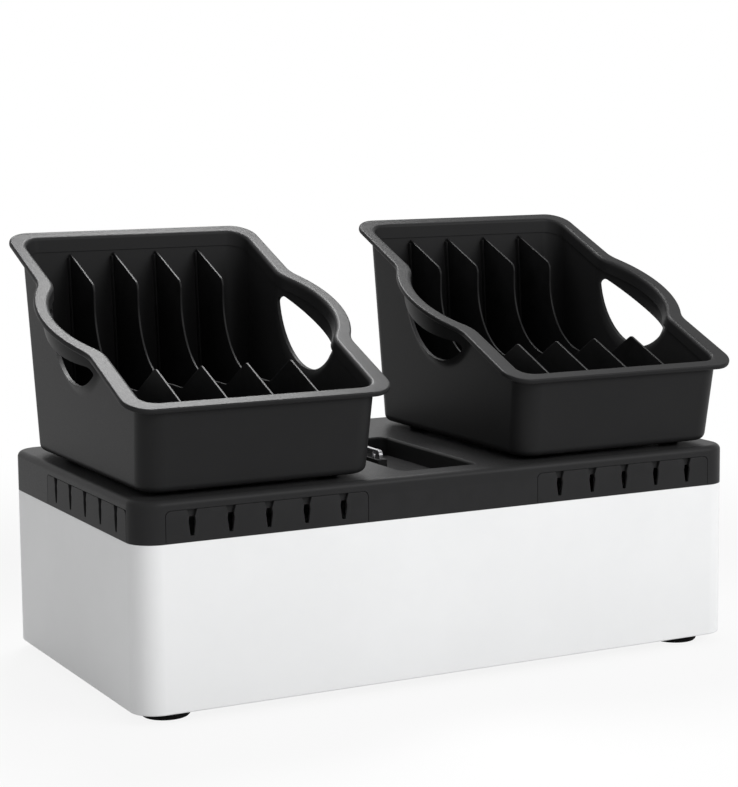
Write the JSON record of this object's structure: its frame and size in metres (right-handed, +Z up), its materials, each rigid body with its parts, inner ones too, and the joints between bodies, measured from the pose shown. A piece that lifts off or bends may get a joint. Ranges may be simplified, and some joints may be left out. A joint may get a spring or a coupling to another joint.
{
  "type": "charging station organizer",
  "caption": "Charging station for tablets and laptops: carry trays with dividers on a lockable power base with cord combs, a lift-off lid and a power strip inside.",
  "frame": {"origin": "on the floor under the middle of the base, at the underside of the rubber feet", "axes": "+X along the width to the right seen from the front, +Y to the back, +Z up"},
  "size_m": [0.683, 0.3526, 0.4162],
  "materials": {
    "white_shell": "satin white",
    "lid_moulding": "fine grain",
    "tray_moulding": "satin",
    "comb_moulding": "satin",
    "divider_sheet": "satin",
    "rubber": "matte",
    "steel": "brushed",
    "brass_pins": "plain",
    "strip_plastic": "satin",
    "rocker_plastic": "gloss",
    "small_black_plastic": "satin"
  },
  "bodies": {
    "base": {"base_shell": "white_shell", "rubber_feet": "rubber", "foot_screws": "steel", "lock_eye": "steel", "lock_eye_screws": "steel", "front_left_comb": "comb_moulding", "left_side_comb": "comb_moulding", "front_right_comb": "comb_moulding", "right_side_comb": "comb_moulding", "strip_housing": "strip_plastic", "strip_cover": "strip_plastic", "outlet_01": "strip_plastic", "outlet_02": "strip_plastic", "outlet_03": "strip_plastic", "outlet_04": "strip_plastic", "outlet_05": "strip_plastic", "outlet_06": "strip_plastic", "outlet_07": "strip_plastic", "outlet_08": "strip_plastic", "outlet_09": "strip_plastic", "outlet_10": "strip_plastic", "switch_frame": "small_black_plastic", "strip_cover_screws": "steel", "strip_foot_screws": "steel", "mains_inlet": "small_black_plastic", "inlet_pins": "brass_pins", "inlet_screws": "steel"},
    "lid": {"lid": "lid_moulding"},
    "switch_rocker": {"switch_rocker": "rocker_plastic"},
    "left_tray": {"left_tray": "tray_moulding", "left_tray_pads": "rubber"},
    "left_divider_1": {"left_divider_1": "divider_sheet"},
    "left_divider_2": {"left_divider_2": "divider_sheet"},
    "left_divider_3": {"left_divider_3": "divider_sheet"},
    "left_divider_4": {"left_divider_4": "divider_sheet"},
    "right_tray": {"right_tray": "tray_moulding", "right_tray_pads": "rubber"},
    "right_divider_1": {"right_divider_1": "divider_sheet"},
    "right_divider_2": {"right_divider_2": "divider_sheet"},
    "right_divider_3": {"right_divider_3": "divider_sheet"},
    "right_divider_4": {"right_divider_4": "divider_sheet"}
  },
  "joints": [
    {"name": "lid_lift", "type": "slide", "parent": "base", "child": "lid", "axis": [0, 0, 1], "range_m": [0, 0.06]},
    {"name": "switch_tilt", "type": "hinge", "parent": "base", "child": "switch_rocker", "pos_m": [0.262, 0.1294, 0.061], "axis": [0, 1, 0], "range_deg": [-12, 0]},
    {"name": "left_tray_lift", "type": "slide", "parent": "lid", "child": "left_tray", "axis": [0, 0, 1], "range_m": [0, 0.2]},
    {"name": "left_divider_1_lift", "type": "slide", "parent": "left_tray", "child": "left_divider_1", "axis": [0, 0, 1], "range_m": [0, 0.22]},
    {"name": "left_divider_2_lift", "type": "slide", "parent": "left_tray", "child": "left_divider_2", "axis": [0, 0, 1], "range_m": [0, 0.22]},
    {"name": "left_divider_3_lift", "type": "slide", "parent": "left_tray", "child": "left_divider_3", "axis": [0, 0, 1], "range_m": [0, 0.22]},
    {"name": "left_divider_4_lift", "type": "slide", "parent": "left_tray", "child": "left_divider_4", "axis": [0, 0, 1], "range_m": [0, 0.22]},
    {"name": "right_tray_lift", "type": "slide", "parent": "lid", "child": "right_tray", "axis": [0, 0, 1], "range_m": [0, 0.2]},
    {"name": "right_divider_1_lift", "type": "slide", "parent": "right_tray", "child": "right_divider_1", "axis": [0, 0, 1], "range_m": [0, 0.22]},
    {"name": "right_divider_2_lift", "type": "slide", "parent": "right_tray", "child": "right_divider_2", "axis": [0, 0, 1], "range_m": [0, 0.22]},
    {"name": "right_divider_3_lift", "type": "slide", "parent": "right_tray", "child": "right_divider_3", "axis": [0, 0, 1], "range_m": [0, 0.22]},
    {"name": "right_divider_4_lift", "type": "slide", "parent": "right_tray", "child": "right_divider_4", "axis": [0, 0, 1], "range_m": [0, 0.22]}
  ]
}
